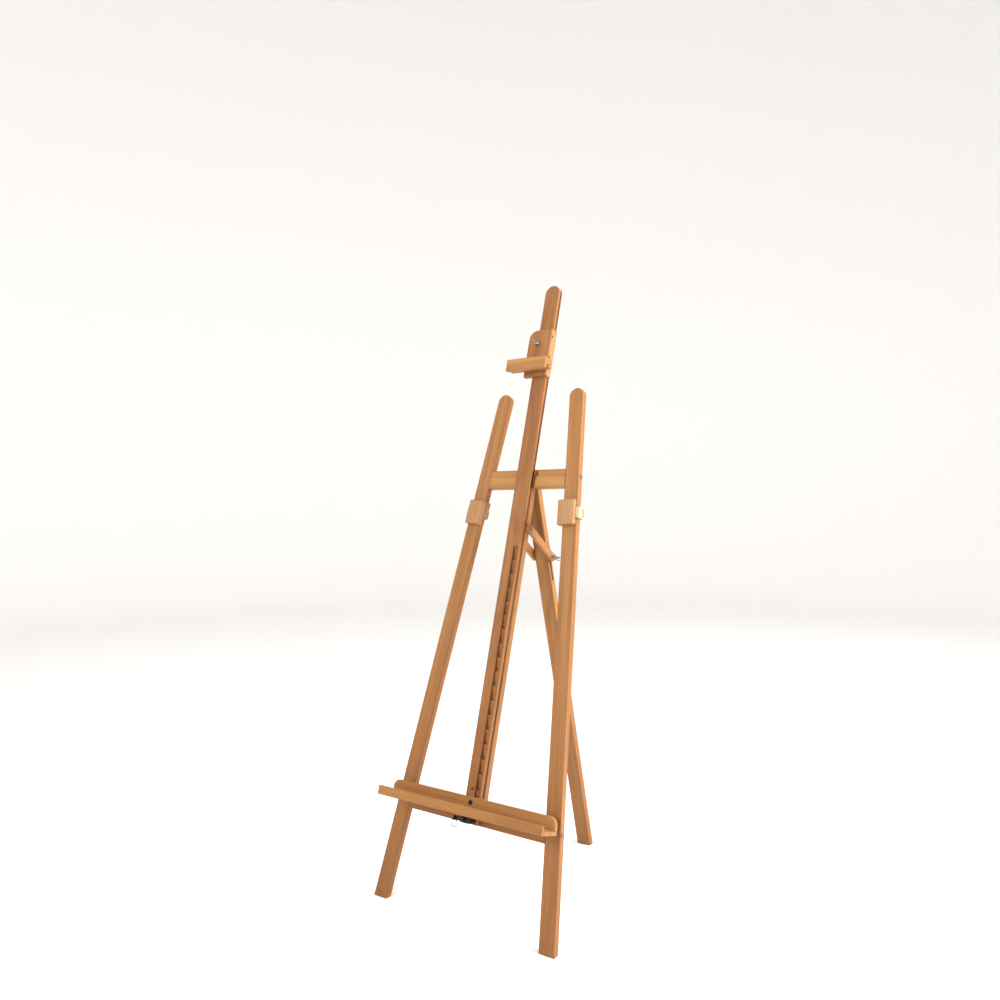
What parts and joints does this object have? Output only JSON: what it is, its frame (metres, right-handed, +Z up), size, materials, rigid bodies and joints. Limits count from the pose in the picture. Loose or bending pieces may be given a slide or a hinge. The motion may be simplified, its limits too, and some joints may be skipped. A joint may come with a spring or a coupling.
{
  "type": "lyre easel",
  "caption": "Folding wooden studio easel with two splayed front legs, a rear leg on a sliding stay, a raising mast, a ratchet canvas tray, a top canvas clamp and side clamps.",
  "frame": {"origin": "on the floor, at the middle of the easel's footprint box", "axes": "+X to the right seen by a painter in front, +Y backwards to the rear leg, +Z up"},
  "size_m": [0.6308, 0.7111, 1.8552],
  "materials": {
    "beech_frame": "oiled beech, satin",
    "beech_mast": "oiled beech, satin, redder",
    "beech_tray": "oiled beech, satin, yellower",
    "beech_block": "oiled beech, satin, lighter",
    "dark_steel": "blackened steel, satin",
    "zinc_steel": "zinc plated",
    "spring_steel": "drawn spring wire",
    "black_plastic": "moulded, satin"
  },
  "bodies": {
    "frame": {"left_leg": "beech_frame", "right_leg": "beech_frame", "upper_crossbar": "beech_frame", "lower_crossbar": "beech_frame", "centre_rail": "beech_frame", "frame_dowels": "beech_block", "crossbar_bolts": "zinc_steel", "hinge_bracket_left": "zinc_steel", "hinge_bracket_right": "zinc_steel", "hinge_screws": "zinc_steel", "hinge_bolt": "zinc_steel", "hinge_nut": "zinc_steel", "mast_guide_left": "dark_steel", "mast_guide_right": "dark_steel", "guide_screws": "dark_steel", "mast_lock_hook": "dark_steel", "stay_pivot_bolt": "zinc_steel", "stay_pivot_nut": "zinc_steel"},
    "mast_lock_knob": {"mast_lock_knob": "black_plastic"},
    "mast": {"mast": "beech_mast", "mast_stop_screw": "dark_steel"},
    "tray": {"tray_bottom_board": "beech_tray", "tray_front_lip": "beech_tray", "tray_back_board": "beech_tray", "tray_cheek_left": "beech_tray", "tray_cheek_right": "beech_tray", "tray_keeper_left": "dark_steel", "tray_keeper_right": "dark_steel", "tray_screws": "zinc_steel", "tray_tension_screw": "dark_steel", "latch_housing": "dark_steel", "latch_screws": "zinc_steel", "latch_spring": "spring_steel"},
    "latch_pawl": {"latch_pawl": "dark_steel"},
    "pull_ring": {"pull_ring": "zinc_steel"},
    "top_clamp": {"top_clamp_plate": "beech_block", "top_clamp_cheek_left": "beech_block", "top_clamp_cheek_right": "beech_block", "top_clamp_batten": "beech_block", "top_clamp_screws": "dark_steel"},
    "top_clamp_wing_screw": {"top_clamp_wing_screw": "zinc_steel"},
    "rear_leg": {"rear_leg": "beech_frame"},
    "stay": {"stay_arm_left": "beech_frame", "stay_arm_right": "beech_frame", "stay_slide_bolt": "zinc_steel", "stay_washers": "zinc_steel"},
    "stay_wing_nut": {"stay_wing_nut": "zinc_steel"},
    "left_clamp": {"left_clamp_plate": "beech_block", "left_clamp_inner_block": "zinc_steel", "left_clamp_outer_block": "zinc_steel", "left_clamp_strap": "dark_steel", "left_clamp_screws": "zinc_steel"},
    "left_clamp_knob": {"left_clamp_knob": "black_plastic"},
    "right_clamp": {"right_clamp_plate": "beech_block", "right_clamp_inner_block": "zinc_steel", "right_clamp_outer_block": "zinc_steel", "right_clamp_strap": "dark_steel", "right_clamp_screws": "zinc_steel"},
    "right_clamp_knob": {"right_clamp_knob": "black_plastic"}
  },
  "joints": [
    {"name": "mast_slide", "type": "slide", "parent": "frame", "child": "mast", "axis": [0, 0.2812, 0.9596], "range_m": [0, 0.86]},
    {"name": "mast_lock_turn", "type": "hinge", "parent": "frame", "child": "mast_lock_knob", "pos_m": [0.0345, 0.04849, 1.23512], "axis": [0, 0.9596, -0.2812], "continuous": true},
    {"name": "tray_slide", "type": "slide", "parent": "mast", "child": "tray", "axis": [0, 0.2812, 0.9596], "range_m": [0, 0.7452]},
    {"name": "latch_pull", "type": "slide", "parent": "tray", "child": "latch_pawl", "axis": [0, -0.9596, 0.2812], "range_m": [0, 0.012], "stiffness_N_per_m": 250, "springref_m": -0.01, "deforming": ["latch_spring"]},
    {"name": "ring_swing", "type": "hinge", "parent": "latch_pawl", "child": "pull_ring", "pos_m": [-0.01, -0.34083, 0.28715], "axis": [1, 0, 0], "range_deg": [-45, 25]},
    {"name": "top_clamp_slide", "type": "slide", "parent": "mast", "child": "top_clamp", "axis": [0, 0.2812, 0.9596], "range_m": [-0.25, 0.15]},
    {"name": "top_wing_screw_turn", "type": "hinge", "parent": "top_clamp", "child": "top_clamp_wing_screw", "pos_m": [-0.015, 0.10412, 1.65961], "axis": [0, -0.9596, 0.2812], "continuous": true},
    {"name": "rear_leg_fold", "type": "hinge", "parent": "frame", "child": "rear_leg", "pos_m": [0, 0.04535, 1.21728], "axis": [1, 0, 0], "range_deg": [-30.1, 6]},
    {"name": "stay_swing", "type": "hinge", "parent": "frame", "child": "stay", "pos_m": [0, -0.01879, 1.07665], "axis": [1, 0, 0], "range_deg": [-60.2, 12]},
    {"name": "stay_wing_nut_turn", "type": "hinge", "parent": "stay", "child": "stay_wing_nut", "pos_m": [0.04, 0.1032, 0.98173], "axis": [1, 0, 0], "continuous": true},
    {"name": "left_clamp_slide", "type": "slide", "parent": "frame", "child": "left_clamp", "axis": [0.1002, 0.2798, 0.9548], "range_m": [-0.6, 0.03]},
    {"name": "left_clamp_knob_turn", "type": "hinge", "parent": "left_clamp", "child": "left_clamp_knob", "pos_m": [-0.17341, 0.0104, 1.11583], "axis": [0, 0.9596, -0.2812], "continuous": true},
    {"name": "right_clamp_slide", "type": "slide", "parent": "frame", "child": "right_clamp", "axis": [-0.1002, 0.2798, 0.9548], "range_m": [-0.6, 0.03]},
    {"name": "right_clamp_knob_turn", "type": "hinge", "parent": "right_clamp", "child": "right_clamp_knob", "pos_m": [0.17341, 0.0104, 1.11583], "axis": [0, 0.9596, -0.2812], "continuous": true}
  ],
  "couplings": [
    {"joint": "stay_swing", "follows": "rear_leg_fold", "ratio": 2}
  ]
}
